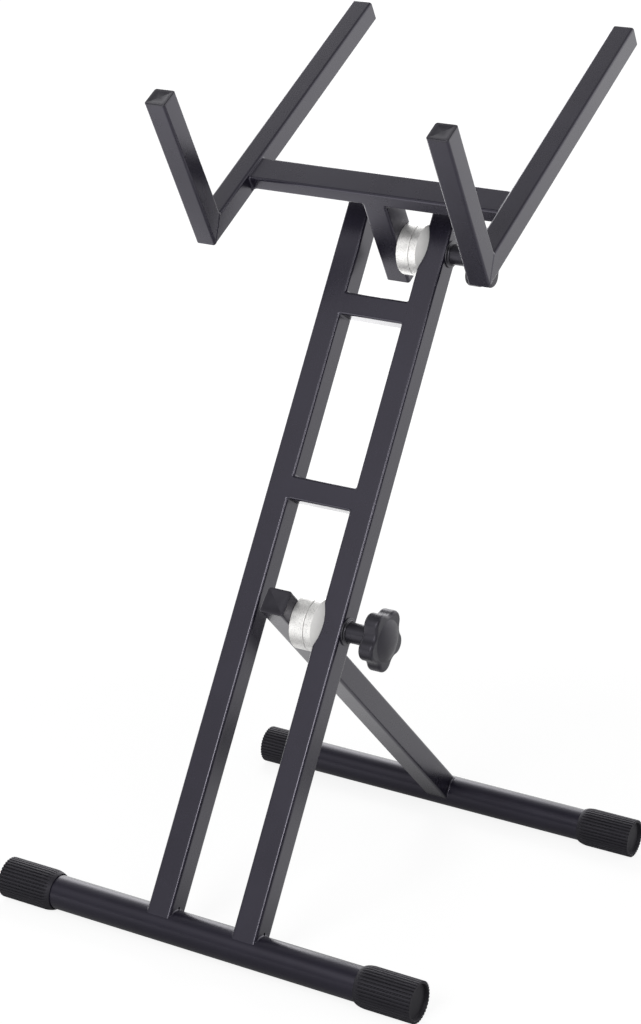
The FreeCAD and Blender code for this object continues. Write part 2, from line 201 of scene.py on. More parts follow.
def length(name, description, millimetres):
    """Length property given in millimetres and kept in metres."""
    return number(name, description, millimetres * MM, min=0.0, precision=5, subtype="DISTANCE",
                  unit="LENGTH")


def angle(name, description, degrees):
    """Angle property given in degrees and kept in radians."""
    return number(name, description, math.radians(degrees), subtype="ANGLE", unit="ROTATION")


def share(name, description, default):
    """Number from 0 to 1."""
    return number(name, description, default, min=0.0, max=1.0, subtype="FACTOR")


def power(name, description, watts):
    """Power of a lamp."""
    return number(name, description, watts, min=0.0, unit="POWER")


def glow(name, description, default):
    """Brightness in glossy surfaces, where 1 is white."""
    return number(name, description + " in glossy surfaces", default, min=0.0)


def count(name, description, default, most):
    """Number of like features round an axis."""
    return IntProperty(name=name, description=description, default=default, min=3, max=most)


def vector(name, description, default, **kind):
    """Property of three numbers."""
    return FloatVectorProperty(name=name, description=description, default=default, size=3, **kind)


def colour(name, description, default):
    """Linear colour property."""
    return vector(name, description, default, min=0.0, max=1.0, subtype="COLOR")


def group(kind, name):
    """Property that holds a group of settings."""
    return PointerProperty(type=kind, name=name, description=kind.__doc__)


class TubeSettings(bpy.types.PropertyGroup):
    """Steel tube sections"""
    wall: length("Wall", "Thickness of every tube's wall", 1.5)
    corner: length("Corner", "Outer rounding of the square tubes' long edges", 2.6)
    bore_corner: length("Bore corner", "Rounding inside the square tubes", 1.1)


class WeldSettings(bpy.types.PropertyGroup):
    """Welds under the coat"""
    leg: length("Fillet leg", "Reach of a fillet weld on each of two square tubes", 2.0)
    cross_swell: length("Cross swell", "Added reach under the cross tube's ends", 4.5)
    saddle_leg: length("Saddle leg", "Reach of the weld beside a tube that stands on a foot", 1.6)
    saddle_swell: length("Saddle swell", "Added reach of that weld at the back, taken off in front", 2.0)
    saddle_least: length("Saddle least", "Least reach of that weld, on the dressed front", 0.15)
    sunk: length("Sunk", "Depth of a weld's hidden side below the tubes' faces", 0.6)
    proud: length("Proud", "Height of a dressed weld over the flush faces", 0.03)
    mitre_lip: length("Mitre on the lip", "Reach of a mitre's dressed bead on the lip", 3.0)
    mitre_arm: length("Mitre on the arm", "Reach of a mitre's dressed bead on the arm", 1.0)
    crown: length("Crown", "Height of the dressed bead along a mitre", 0.5)
    drain: length("Drain", "Radius of the drain hole low in each upright's right face", 1.4)


class PlugSettings(bpy.types.PropertyGroup):
    """Plastic plugs in the tubes' open ends"""
    flange: length("Flange", "Thickness of the plug outside its tube", 2.0)
    edge_round: length("Edge round", "Rounding of the outer edge", 0.8)
    corner: length("Corner", "Rounding of the flange's four corners", 2.6)
    margin: length("Margin", "Width of the raised border round the panel", 3.5)
    panel_depth: length("Panel depth", "Depth of the recessed panel", 0.5)
    panel_slope: length("Panel slope", "Width of the slope round the panel", 1.2)
    shank_gap: length("Shank gap", "Play between the shank and the tube's bore", 0.1)
    shank_wall: length("Shank wall", "Thickness of the hollow shank", 2.0)


class CapSettings(bpy.types.PropertyGroup):
    """Ribbed rubber end caps; depths are radial"""
    ribs: count("Ribs", "Ribs round a cap", 36, 90)
    rib_depth: length("Rib depth", "Depth of the grooves between ribs", 1.1)
    crown: share("Crown", "Share of a rib's pitch that is its crown", 0.45)
    floor: share("Groove floor", "Share of a rib's pitch that is groove floor", 0.15)
    taper_length: length("Taper length", "Length of the slow taper towards the mouth", 9.0)
    taper_depth: length("Taper depth", "Depth of the slow taper", 0.7)
    mouth_bevel: length("Mouth bevel", "Length of the bevel at the open end", 3.0)
    mouth_depth: length("Mouth depth", "Depth of the bevel at the open end", 1.5)
    flare_length: length("Flare length", "Length of the flare inside the mouth", 2.0)
    flare_depth: length("Flare depth", "Depth of the flare inside the mouth", 0.5)
    rim_round: length("Rim round", "Rounding of the closed end's outer edge", 0.25)
    recess: length("Recess", "Depth of the closed end's recess", 3.0)
    recess_round: length("Recess round", "Rounding of the recess's edges", 0.4)
    disc: length("Disc", "Radius of the smooth disc in the recess", 15.5)
    draft: length("Draft", "How far the recess widens towards the rim", 0.7)
    end_wall: length("End wall", "Thickness behind the disc", 4.0)
    play: length("Play", "Play between the cap and its foot tube", 0.1)


class RosetteSettings(bpy.types.PropertyGroup):
    """Toothed clutch rosettes"""
    teeth: count("Teeth", "Radial teeth on a clutch face", 36, 90)
    tooth_depth: length("Tooth depth", "Depth of the grooves at their outer ends", 1.4)
    tooth_inner: length("Tooth start", "Radius at which the grooves start", 12.0)
    tooth_outer: length("Tooth end", "Radius at which the grooves end", 22.5)
    land: share("Land", "Share of a tooth's pitch that stays flat", 0.1)
    edge_round: length("Edge round", "Rounding of the discs' edges", 0.5)
    bore: length("Bore", "Radius of the bolt's bore", 5.1)
    moving_boss: length("Moving boss", "Half side of the square boss in the leg and the stem", 7.5)
    fixed_boss: length("Fixed boss", "Half side of the square boss in the upright", 10.4)
    dome_depth: length("Dome depth", "Height of the fixed rosette's domed back", 6.9)
    clearance: length("Clearance", "Room round the domed back in the upright", 0.25)


class WasherSettings(bpy.types.PropertyGroup):
    """Dished washers under the knobs"""
    bore: length("Bore", "Radius of the hole", 5.4)
    flange: length("Flange", "Thickness of the rim", 1.4)
    edge_round: length("Edge round", "Rounding of the rim", 0.6)
    seat: length("Seat", "Radius of the flat seat under the knob's hub", 9.5)
    groove: length("Groove", "Depth of the ring groove outside the seat", 0.5)


class KnobSettings(bpy.types.PropertyGroup):
    """Star clamp knobs"""
    lobes: count("Lobes", "Lobes round a knob", 5, 12)
    lower_phase: angle("Lower phase", "Turn of the lower knob's lobes from the uprights' direction", 13.5)
    upper_phase: angle("Upper phase", "Turn of the upper knob's lobes from the uprights' direction", 56.0)
    tip: length("Tip", "Radius over the lobes", 29.5)
    lobe_radius: length("Lobe radius", "Rounding of a lobe", 11.0)
    waist: length("Waist", "Radius in the hollows between lobes", 23.25)
    thickness: length("Thickness", "Thickness of the lobed head", 15.0)
    edge_round: length("Edge round", "Rounding of the head's edges", 3.0)
    dome_radius: length("Dome radius", "Radius of the domed front", 20.0)
    dome_height: length("Dome height", "Height of the domed front", 5.0)
    hub_radius: length("Hub radius", "Radius of the hub", 9.5)
    hub_round: length("Hub round", "Rounding of the hub's free edge", 0.6)
    neck_round: length("Neck round", "Hollow between the hub and the head", 1.6)
    pocket_radius: length("Pocket radius", "Radius of the pocket for the threaded insert", 7.0)
    pocket_depth: length("Pocket depth", "Depth of the pocket for the threaded insert", 26.0)


class CoatSettings(bpy.types.PropertyGroup):
    """Colours of the finishes"""
    coat: colour("Powder coat", "Satin black coat on the tubes", (0.0088, 0.0077, 0.0145))
    rubber: colour("Rubber", "Ribbed rubber caps", (0.0080, 0.0077, 0.0095))
    plug: colour("Plug", "Plastic plugs", (0.0100, 0.0096, 0.0125))
    knob: colour("Knob", "Moulded star knobs", (0.0085, 0.0083, 0.0110))
    aluminium: colour("Aluminium", "Turned clutch rosettes", (0.850, 0.842, 0.826))
    black_steel: colour("Blackened steel", "Bolts and washers", (0.0200, 0.0200, 0.0220))
    zinc: colour("Plated steel", "Threaded inserts", (0.560, 0.560, 0.570))


class StageSettings(bpy.types.PropertyGroup):
    """Floor, light and camera"""
    eye: vector("Eye", "Camera place", (1.17637, -2.11182, 1.02137), subtype="TRANSLATION", unit="LENGTH")
    azimuth: angle("Azimuth", "Camera direction round the stand", 30.1126)
    elevation: angle("Elevation", "Camera direction above the horizon", 11.0446)
    roll: angle("Roll", "Camera turn about its own axis", 3.1165)
    lens: number("Lens", "Focal length on a 36 mm long side", 92.739, unit="CAMERA")
    shift: number("Shift", "Upright shift as a share of the long side", -0.1875)
    floor_radius: number("Floor", "Radius of the pale floor", 30.0, unit="LENGTH")
    ambient: share("Ambient", "Strength of the even light from all round", 0.42)
    key_power: power("Key", "Power of the soft light beside the camera", 24.0)
    side_power: power("Side", "Power of the small light on the right", 10.0)
    fill_power: power("Fill", "Power of the soft light behind", 15.0)
    unlit: vector("Unlit side", "Direction in which the studio is darkest", (0.89, -0.42, 0.17),
                  subtype="DIRECTION")
    # Painted light in glossy surfaces: the left and left-rear floor glow brighter, and the floor under the stand
    # glows dimmer as painted shade
    floor_left: glow("Left floor", "Glow of the left-hand floor", 1.9)
    floor_corner: glow("Left rear floor", "Added glow of the floor behind on the left", 1.2)
    floor_middle: glow("Middle floor", "Glow of the floor under the stand", 0.75)
    backdrop: glow("Backdrop", "Brightness of the backdrop's foot and the far floor", 1.75)
    backdrop_top: glow("Backdrop top", "Brightness of the backdrop higher up", 3.0)
    studio: glow("Studio", "Brightness of the studio in front, low down", 0.2)
    studio_top: glow("Studio top", "Brightness of the studio in front, higher up", 1.35)


class StandSettings(bpy.types.PropertyGroup):
    """All settings of the mixer stand"""
    tubes: group(TubeSettings, "Tubes")
    welds: group(WeldSettings, "Welds")
    plugs: group(PlugSettings, "Plugs")
    caps: group(CapSettings, "Caps")
    rosettes: group(RosetteSettings, "Rosettes")
    washers: group(WasherSettings, "Washers")
    knobs: group(KnobSettings, "Knobs")
    coats: group(CoatSettings, "Coats")
    stage: group(StageSettings, "Stage")


# Surfaces as grids of points

Surface = namedtuple("Surface", "points loop")


def grid_faces(rows, columns, loop):
    """Quads of a grid closed round its columns and, with loop, joined from its last row to its first."""
    index = np.arange(rows * columns).reshape(rows, columns)
    painted_foot_shadows = np.roll(index, -1, axis=1)
    faces = np.stack((index, painted_foot_shadows, np.roll(painted_foot_shadows, -1, axis=0), np.roll(index, -1, axis=0)), axis=-1)
    return faces[: rows if loop else rows - 1].reshape(-1, 4)


def mesh_object(name, surfaces):
    """Object of one or more closed surfaces, with seams and poles merged and faces turned outwards."""
    points = []
    faces = []
    start = 0
    for surface in surfaces:
        rows, columns = surface.points.shape[:2]
        points.append(surface.points.reshape(-1, 3))
        faces.append(grid_faces(rows, columns, surface.loop) + start)
        start += rows * columns
    mesh = bpy.data.meshes.new(name)
    mesh.from_pydata(np.concatenate(points).tolist(), [], np.concatenate(faces).tolist())
    shape = bmesh.new()
    shape.from_mesh(mesh)
    bmesh.ops.remove_doubles(shape, verts=shape.verts, dist=MERGE_DISTANCE)
    bmesh.ops.dissolve_degenerate(shape, edges=shape.edges, dist=MERGE_DISTANCE)
    bmesh.ops.recalc_face_normals(shape, faces=shape.faces)
    shape.to_mesh(mesh)
    shape.free()
    piece = bpy.data.objects.new(name, mesh)
    bpy.context.scene.collection.objects.link(piece)
    return piece


def carve(piece, cutters):
    """Cut closed surfaces out of a piece."""
    for cutter in cutters:
        tool = mesh_object(piece.name + "_cutter", [cutter])
        cut = piece.modifiers.new("cut", "BOOLEAN")
        cut.operation = "DIFFERENCE"
        cut.solver = "EXACT"
        cut.object = tool
        shape = piece.evaluated_get(bpy.context.evaluated_depsgraph_get())
        mesh = bpy.data.meshes.new_from_object(shape)
        piece.modifiers.clear()
        piece.data = mesh
        bpy.data.objects.remove(tool)


def dress(piece, body, finish, replaced=()):
    """Give a piece its shading, material, body and the nodes that it stands for."""
    mesh = piece.data
    mesh.name = piece.name
    mesh.materials.clear()
    mesh.materials.append(finish)
    mesh.polygons.foreach_set("use_smooth", np.ones(len(mesh.polygons), bool))
    mesh.set_sharp_from_angle(angle=SHARP_ANGLE)
    even = piece.modifiers.new("even_shading", "WEIGHTED_NORMAL")
    even.keep_sharp = True
    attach(piece, body)
    if replaced:
        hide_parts(*replaced)


def stand_in(node, kind, surface, finish):
    """Piece of one surface that takes a node's place."""
    piece = mesh_object(node + "_" + kind, [surface])
    dress(piece, BODY_OF[node], FINISHES[finish], [node])


def recoat(node, finish):
    """Give a node that keeps its own shape another material."""
    shape = frame["nodes"][node]
    if not shape.material_slots:
        shape.data.materials.append(FINISHES[finish])
    for slot in shape.material_slots:
        slot.material = FINISHES[finish]


def directions(turns):
    """Unit vectors at angles: (cos t, sin t)."""
    return np.stack((np.cos(turns), np.sin(turns)), axis=-1)


def rounded_rectangle(width, depth, radius, arc_steps=6, flat_steps=1):
    """Points and normals of a rectangle's outline: four quarter arcs joined by evenly divided flats."""
    normals = directions(np.arange(4)[:, None] * QUARTER + np.linspace(0, QUARTER, arc_steps + 1))
    corners = np.array(((1, 1), (-1, 1), (-1, -1), (1, -1))) * (width / 2 - radius, depth / 2 - radius)
    arcs = corners[:, None] + radius * normals
    shares = (np.arange(1, flat_steps) / flat_steps)[None, :, None]
    flats = arcs[:, -1:] + (np.roll(arcs[:, :1], -1, axis=0) - arcs[:, -1:]) * shares
    flat_normals = np.broadcast_to(normals[:, -1:], flats.shape)
    points = np.concatenate((arcs, flats), axis=1).reshape(-1, 2)
    return points, np.concatenate((normals, flat_normals), axis=1).reshape(-1, 2)


def lifted(outline, height):
    """Points of an outline raised to a height: a number or one number for each point."""
    return np.column_stack((outline, np.broadcast_to(height, len(outline))))


def bend(start, corner, end, steps=6):
    """Curve from start to end that leans towards a corner: (1 - t)^2 start + 2 t (1 - t) corner + t^2 end."""
    t = np.linspace(0, 1, steps + 1).reshape((-1,) + (1,) * np.ndim(start))
    return (1 - t) ** 2 * np.asarray(start) + 2 * t * (1 - t) * np.asarray(corner) + t ** 2 * np.asarray(end)


def round_turns(segments):
    """Angles of evenly spaced columns round an axis."""
    return np.linspace(0, FULL_TURN, segments, endpoint=False)


def zigzag(turns, waves):
    """Wave round an axis that falls from 1 to 0 and rises again: 2 |(waves t / full turn) mod 1 - 1/2|."""
    return np.abs((turns * waves / FULL_TURN) % 1.0 - 0.5) * 2


def revolve(rows, segments):
    """Grid turned about the x axis from (x, radius) rows: (x, r sin t, r cos t).

    Each x and radius is a number or one number for each column.
    """
    turns = round_turns(segments)
    x = np.array([np.broadcast_to(row[0], segments) for row in rows])
    radius = np.array([np.broadcast_to(row[1], segments) for row in rows])
    return np.stack((x, radius * np.sin(turns), radius * np.cos(turns)), axis=-1)


def turned(local, rows, segments, loop):
    """Surface turned about a local frame's x axis; with loop it has a bore."""
    return Surface(local.outward(revolve(rows, segments)), loop)


def cylinder(start, end, radius):
    """(x, radius) rows of a closed cylinder."""
    return [(start, 0), (start, radius), (end, radius), (end, 0)]


def arc(centre, radius, start, end, steps=6):
    """(x, radius) points of an arc: its angles, in degrees, run from the x axis towards the radius."""
    turns = np.radians(np.linspace(start, end, steps + 1))
    return [(centre[0] + radius * math.cos(turn), centre[1] + radius * math.sin(turn)) for turn in turns]


def dome_sphere(radius, height):
    """Radius of the sphere that a dome is part of: (rim radius^2 + height^2) / (2 height)."""
    return (radius ** 2 + height ** 2) / (2 * height)


def dome(radius, height, base_x, steps):
    """(x, radius) points of a shallow spherical dome from its rim at base_x to its tip."""
    sphere = dome_sphere(radius, height)
    half_angle = math.degrees(math.asin(radius / sphere))
    return arc((base_x + height - sphere, 0), sphere, half_angle, 0, steps)


# Finishes

FINISHES = {}


class NodeBench:
    """A node tree that is filled from scratch."""

    def __init__(self, tree):
        self.tree = tree
        self.tree.nodes.clear()

    def feed(self, socket, value):
        """Set an input to a number or colour, or link it to a socket."""
        if isinstance(value, bpy.types.NodeSocket):
            self.tree.links.new(value, socket)
        else:
            socket.default_value = value

    def node(self, kind, inputs=None, **settings):
        """A node with its settings and its inputs."""
        made = self.tree.nodes.new(kind)
        for key, value in settings.items():
            setattr(made, key, value)
        for key, value in (inputs or {}).items():
            self.feed(made.inputs[key], value)
        return made

    def spread(self, factor, low, high, from_low=0.3, from_high=0.7, **settings):
        """A factor spread between two numbers."""
        inputs = {"Value": factor, "From Min": from_low, "From Max": from_high, "To Min": low, "To Max": high}
        return self.node("ShaderNodeMapRange", inputs, **settings).outputs["Result"]

    def math(self, operation, first, second=0.0, third=0.0):
        """Sum, product or the like of numbers or sockets."""
        inputs = {0: first, 1: second, 2: third}
        return self.node("ShaderNodeMath", inputs, operation=operation).outputs["Value"]

    def split(self, place):
        """The three parts of a vector."""
        return self.node("ShaderNodeSeparateXYZ", {"Vector": place}).outputs

    def shader_mix(self, factor, first, second):
        """Mix of two shaders."""
        return self.node("ShaderNodeMixShader", {"Fac": factor, 1: first, 2: second}).outputs["Shader"]


class Recipe(NodeBench):
    """Shader nodes of one finish, read on Object coordinates, so a pattern stays on its piece."""

    def __init__(self, name):
        self.material = bpy.data.materials.new(name)
        self.material.use_nodes = True
        super().__init__(self.material.node_tree)
        self.shader = self.node("ShaderNodeBsdfPrincipled")
        self.node("ShaderNodeOutputMaterial", {"Surface": self.shader.outputs["BSDF"]})
        self.place = self.node("ShaderNodeTexCoord").outputs["Object"]

    def surface(self, **values):
        """Feed the shader's own sockets, named with underscores for spaces."""
        for key, value in values.items():
            self.feed(self.shader.inputs[key.replace("_", " ")], value)

    def noise(self, grain, detail, roughness):
        """Noise whose lumps are about one grain across."""
        inputs = {"Vector": self.place, "Scale": 1 / grain, "Detail": detail, "Roughness": roughness}
        return self.node("ShaderNodeTexNoise", inputs).outputs["Fac"]

    def shades(self, factor, colour, low, high):
        """A colour that runs from low to high times itself with a noise factor."""
        ramp = self.node("ShaderNodeValToRGB", {"Fac": factor})
        for stop, place, level in zip(ramp.color_ramp.elements, (0.3, 0.7), (low, high)):
            stop.position = place
            stop.color = [channel * level for channel in colour] + [1.0]
        return ramp.outputs["Color"]

    def bump(self, height, depth, strength, **under):
        """Bump whose height of one is a real depth, over another bump if its Normal is given."""
        inputs = {"Height": height, "Distance": depth, "Strength": strength, **under}
        return self.node("ShaderNodeBump", inputs).outputs["Normal"]

    def black_gloss(self, cloud, colour, relief, rough, shine, contrast, uneven):
        """Black surface with a cool gloss, whose shade and roughness vary with a noise."""
        self.surface(Base_Color=self.shades(cloud, colour, 1 - contrast, 1 + contrast), Normal=relief,
                     Roughness=self.spread(cloud, rough - uneven, rough + uneven),
                     Specular_IOR_Level=shine, Specular_Tint=COOL_GLOSS)


def powder_coat(name, colour, rough, shine):
    """Satin black coat: soft mottling, a fine orange peel and a dust of texture."""
    recipe = Recipe(name)
    mottle = recipe.noise(grain=60 * MM, detail=4.0, roughness=0.6)
    peel = recipe.noise(grain=1.6 * MM, detail=2.0, roughness=0.4)
    dust = recipe.noise(grain=0.35 * MM, detail=1.0, roughness=0.5)
    relief = recipe.bump(peel, depth=0.005 * MM, strength=0.6)
    relief = recipe.bump(dust, depth=0.002 * MM, strength=0.5, Normal=relief)
    recipe.black_gloss(mottle, colour, relief, rough, shine, contrast=0.15, uneven=0.025)
    return recipe.material


def moulded(name, colour, grain, depth, rough, shine=0.58):
    """Moulded plastic, rubber or blackened steel: an even colour, a fine grain and a slightly uneven gloss.

    grain and depth are in millimetres.
    """
    recipe = Recipe(name)
    cloud = recipe.noise(grain=14 * MM, detail=3.0, roughness=0.6)
    texture = recipe.noise(grain=grain * MM, detail=2.0, roughness=0.55)
    relief = recipe.bump(texture, depth=depth * MM, strength=0.7)
    recipe.black_gloss(cloud, colour, relief, rough, shine, contrast=0.2, uneven=0.05)
    return recipe.material


def turned_metal(name, colour, centre, rough, cast_from=1.0):
    """Lathe-turned metal: fine rings round the pivot's axis, stains and specks.

    The rings are the sine of (distance from the axis + x) over their pitch. Beyond cast_from on x the metal
    turns, over cast_edge, to a rougher and duller cast skin.
    """
    ring_pitch, cast_edge = 0.45 * MM, 0.4 * MM
    bare_metal, cast_rough, cast_shade = 0.8, 0.2, 0.66
    recipe = Recipe(name)
    moved = recipe.node("ShaderNodeMapping", {"Vector": recipe.place, "Location": [-part for part in centre]})
    parts = recipe.split(moved.outputs["Vector"])
    squares = [recipe.math("MULTIPLY", parts[letter], parts[letter]) for letter in "YZ"]
    travel = recipe.math("ADD", recipe.math("SQRT", recipe.math("ADD", *squares)), parts["X"])
    rings = recipe.math("SINE", recipe.math("MULTIPLY", travel, FULL_TURN / ring_pitch))
    stain = recipe.noise(grain=9 * MM, detail=3.0, roughness=0.6)
    specks = recipe.noise(grain=0.9 * MM, detail=3.0, roughness=0.65)
    cast = recipe.spread(parts["X"], 0.0, 1.0, cast_from - cast_edge, cast_from)
    relief = recipe.bump(rings, depth=0.0015 * MM, strength=0.6)
    relief = recipe.bump(specks, depth=0.010 * MM, strength=0.5, Normal=relief)
    stained = recipe.spread(stain, rough - 0.04, rough + 0.06)
    wear = recipe.math("MULTIPLY", recipe.spread(stain, low=0.8, high=1.0),
                       recipe.spread(specks, low=0.42, high=0.74, from_low=0.35, from_high=0.52))
    shade = recipe.math("MAXIMUM", wear, recipe.math("MULTIPLY", cast, cast_shade))
    recipe.surface(Base_Color=recipe.shades(shade, colour, low=0.55, high=1.0), Normal=relief,
                   Metallic=recipe.spread(cast, bare_metal, 0.0, from_low=0.0, from_high=1.0),
                   Roughness=recipe.math("MULTIPLY_ADD", cast, cast_rough, stained))
    return recipe.material


def make_finishes(coats):
    """Mix every finish; the metals are turned about each clutch's own axis."""
    FINISHES.update({
        "coat": powder_coat("black_powder_coat", coats.coat, rough=0.275, shine=0.66),
        "foot_coat": powder_coat("black_powder_coat_feet", coats.coat, rough=0.33, shine=0.44),
        "rubber": moulded("ribbed_rubber", coats.rubber, grain=0.5, depth=0.02, rough=0.62, shine=0.42),
        "plug": moulded("plug_plastic", coats.plug, grain=0.6, depth=0.006, rough=0.32),
        "knob": moulded("knob_plastic", coats.knob, grain=0.5, depth=0.010, rough=0.44, shine=0.5),
        "black_steel": moulded("blackened_steel", coats.black_steel, grain=0.8, depth=0.006, rough=0.34),
    })
    for level in LEVELS:
        centre = CLUTCHES[level].origin
        FINISHES[level + "_aluminium"] = turned_metal(level + "_turned_aluminium", coats.aluminium, centre,
                                                      rough=0.46, cast_from=INNER_WALL)
        FINISHES[level + "_zinc"] = turned_metal(level + "_plated_steel", coats.zinc, centre, rough=0.30)


# Tubes

def section(low, high, corner, **steps):
    """Outline and normals of a tube's section from its box in the tube's own frame."""
    points, normals = rounded_rectangle(high[0] - low[0], high[1] - low[1], corner, **steps)
    return points + (low + high)[:2] / 2, normals


def tube_surface(low, high, tubes, start, **steps):
    """Hollow square tube: its outer and inner outlines carried along z from a start height to its end.

    start(points) gives the height of the cut at each point of an outline.
    """
    inset = np.array((tubes.wall, tubes.wall, 0))
    outer = section(low, high, tubes.corner, **steps)[0]
    inner = section(low + inset, high - inset, tubes.bore_corner, **steps)[0]
    return np.array((lifted(outer, start(outer)), lifted(outer, high[2]),
                     lifted(inner, high[2]), lifted(inner, start(inner))))


def saddle(axis_height, radius):
    """Cut of a tube that stands on a round tube: height = axis + sqrt(radius^2 - y^2)."""
    return lambda points: axis_height + np.sqrt(radius ** 2 - points[:, 1] ** 2)


def mitre(low, axis):
    """Cut at 45 degrees: height = lowest height + distance from the lowest side."""
    return lambda points: low[2] + points[:, axis] - low[axis]


def recess(level, settings):
    """Domed recess that lets a fixed rosette into the right upright, and the bolt's hole beyond it."""
    beyond = settings.tubes.wall
    clearance = settings.rosettes.clearance
    radius = rosette_radius(level) + clearance
    hollow = [(INNER_WALL - beyond, 0), (INNER_WALL - beyond, radius)]
    hollow += dome(radius, settings.rosettes.dome_depth + clearance, INNER_WALL, steps=24)
    hole = cylinder(OUTER_WALL - 2 * beyond, OUTER_WALL + beyond, settings.washers.bore)
    return [turned(CLUTCHES[level], rows, ROUND_STEPS, False) for rows in (hollow, hole)]


def drain_hole(side, settings):
    """Short cylinder that pierces an upright's right wall just above its weld."""
    low, high = LADDER.extent(side + "_upright")
    wall, radius = settings.tubes.wall, settings.welds.drain
    place = np.array((0, (low[1] + high[1]) / 2, FRONT_RADIUS + radius))
    local = LocalFrame(LADDER.outward(place), LADDER.axes)
    return turned(local, cylinder(high[0] - 2 * wall, high[0] + wall, radius), DRAIN_STEPS, False)


def start_cut(node, low):
    """Cut at a tube's low end: a saddle on a foot, a mitre at a V's corner, or square."""
    if node in SADDLES:
        return saddle(*SADDLES[node])
    if node.endswith("_arm"):
        return mitre(low, 0)
    if node.endswith("_lip"):
        return mitre(low, 1)
    return lambda points: low[2]


def tube_pieces(settings):
    """Every square tube of the stand, with its saddle cuts, mitres and recesses."""
    pieces = {}
    for node, local in TUBES.items():
        low, high = local.extent(node)
        flat_steps = SADDLE_STEPS if node in SADDLES else 1
        points = tube_surface(low, high, settings.tubes, start_cut(node, low), flat_steps=flat_steps)
        pieces[node] = mesh_object(node + "_shell", [Surface(local.outward(points), True)])
    for level in LEVELS:
        carve(pieces["right_upright"], recess(level, settings))
    for side in SIDES:
        carve(pieces[side + "_upright"], [drain_hole(side, settings)])
    for node, piece in pieces.items():
        dress(piece, BODY_OF[node], FINISHES["coat"], [node])


def foot_pieces(settings):
    """Round foot tubes: a ring of wall thickness turned about the foot's axis."""
    for node in ("front_foot_tube", "rear_foot_tube"):
        local = LocalFrame(box_centre(node), np.eye(3))
        low, high = local.extent(node)
        outer = high[2]
        inner = outer - settings.tubes.wall
        stations = np.linspace(low[0], high[0], FOOT_POINTS)
        rows = [(x, outer) for x in stations] + [(x, inner) for x in stations[::-1]]
        stand_in(node, "shell", turned(local, rows, FOOT_STEPS, True), "foot_coat")


# Welds

def corner_drop(place, span, corner):
    """How far a tube's face falls back near its rounded edges: r - sqrt(r^2 - over^2)."""
    over = np.clip(np.maximum(span[0] + corner - place, place - span[1] + corner), 0, corner)
    return corner - np.sqrt(corner ** 2 - over ** 2)


def bead(local, top, corner, toe, hidden):
    """Closed weld: rows that bend from its top towards a corner and out to its toe, and one hidden row."""
    return Surface(local.outward(np.concatenate((bend(top, corner, toe), hidden[None]))), True)


def butt_weld(node, end, neighbour, axis, settings, swell=0.0):
    """Fillet round a tube's end on its neighbour's face, dressed flush where their sides line up.

    end is 0 at the tube's low end and 1 at its high end, and axis the direction across the neighbour: there
    the toe stops at the neighbour's edge and sinks onto its rounded corner. The weld's leg grows by swell
    towards the side that faces against local y.
    """
    welds = settings.welds
    corner = settings.tubes.corner
    local = TUBES[node]
    low, high = local.extent(node)
    face = (low, high)[end][2]
    away = (1, -1)[end]
    span = [bound[axis] for bound in local.extent(neighbour)]
    outline, normals = section(low, high, corner)
    skin = outline + welds.proud * normals
    leg = welds.leg + swell * np.maximum(-normals[:, 1], 0)
    spread = skin + leg[:, None] * normals
    spread[:, axis] = np.clip(spread[:, axis], span[0] - welds.proud, span[1] + welds.proud)
    top = lifted(skin, face + away * leg)
    toe = lifted(spread, face - away * corner_drop(spread[:, axis], span, corner))
    hidden = lifted(outline - welds.sunk * normals, face - away * welds.sunk)
    return bead(local, top, lifted(skin, face), toe, hidden)


def saddle_weld(node, settings):
    """Fillet round a tube that stands on a round foot: its toe follows the foot's curve."""
    welds = settings.welds
    local = TUBES[node]
    axis_height, radius = SADDLES[node]
    outline, normals = section(*local.extent(node), settings.tubes.corner, flat_steps=SADDLE_STEPS)
    leg = np.maximum(welds.saddle_leg + welds.saddle_swell * normals[:, 1], welds.saddle_least)
    skin = outline + welds.proud * normals
    turns = np.arcsin(skin[:, 1] / radius)
    ends = turns + leg * normals[:, 1] / radius
    face = axis_height + radius * np.cos(turns)
    toe = lifted(np.column_stack((skin[:, 0] + leg * normals[:, 0], radius * np.sin(ends))),
                 axis_height + radius * np.cos(ends))
    hidden = lifted(outline - welds.sunk * normals, face - welds.sunk)
    return bead(local, lifted(skin, face + leg), lifted(skin, face), toe, hidden)


def mitre_weld(side, settings):
    """Dressed bead round a V's mitre: a low crown on its sides, steeper to the arm, and a fillet inside."""
    welds = settings.welds
    low, high = ARMS.extent(side + "_arm")
    outline, normals = section(low, high, settings.tubes.corner)
    seam = lifted(outline, mitre(low, 0)(outline))
    outward = np.column_stack((normals[:, 0], 2 * normals[:, 1], normals[:, 0]))
    outward /= np.linalg.norm(outward, axis=1, keepdims=True)
    on_lip = seam + (welds.mitre_lip, 0, 0)
    on_arm = seam + (0, 0, welds.mitre_arm)
    peak = (seam + on_arm) / 2 + 2 * welds.crown * outward
    return bead(ARMS, on_lip, peak, on_arm, seam - welds.sunk * outward)


def weld_pieces(settings):
    """Welds of the ladder, of the rear leg and of the cradle."""
    ladder = [saddle_weld(side + "_upright", settings) for side in SIDES]
    cradle = [mitre_weld(side, settings) for side in SIDES]
    for end, side in enumerate(SIDES):
        for rung in ("middle_rung", "upper_rung"):
            ladder.append(butt_weld(rung, end, side + "_upright", 0, settings))
        cradle.append(butt_weld("cross_tube", end, side + "_arm", 1, settings, settings.welds.cross_swell))
    cradle.append(butt_weld("tilt_stem", 1, "cross_tube", 1, settings))
    leg = [saddle_weld("leg_tube", settings)]
    for name, body, surfaces in (("ladder_welds", "ladder", ladder), ("leg_weld", "rear_leg", leg),
                                 ("cradle_welds", "cradle", cradle)):
        piece = mesh_object(name, surfaces)
        if body == "ladder":
            carve(piece, [drain_hole(side, settings) for side in SIDES])
        dress(piece, body, FINISHES["coat"])


# Rubber caps

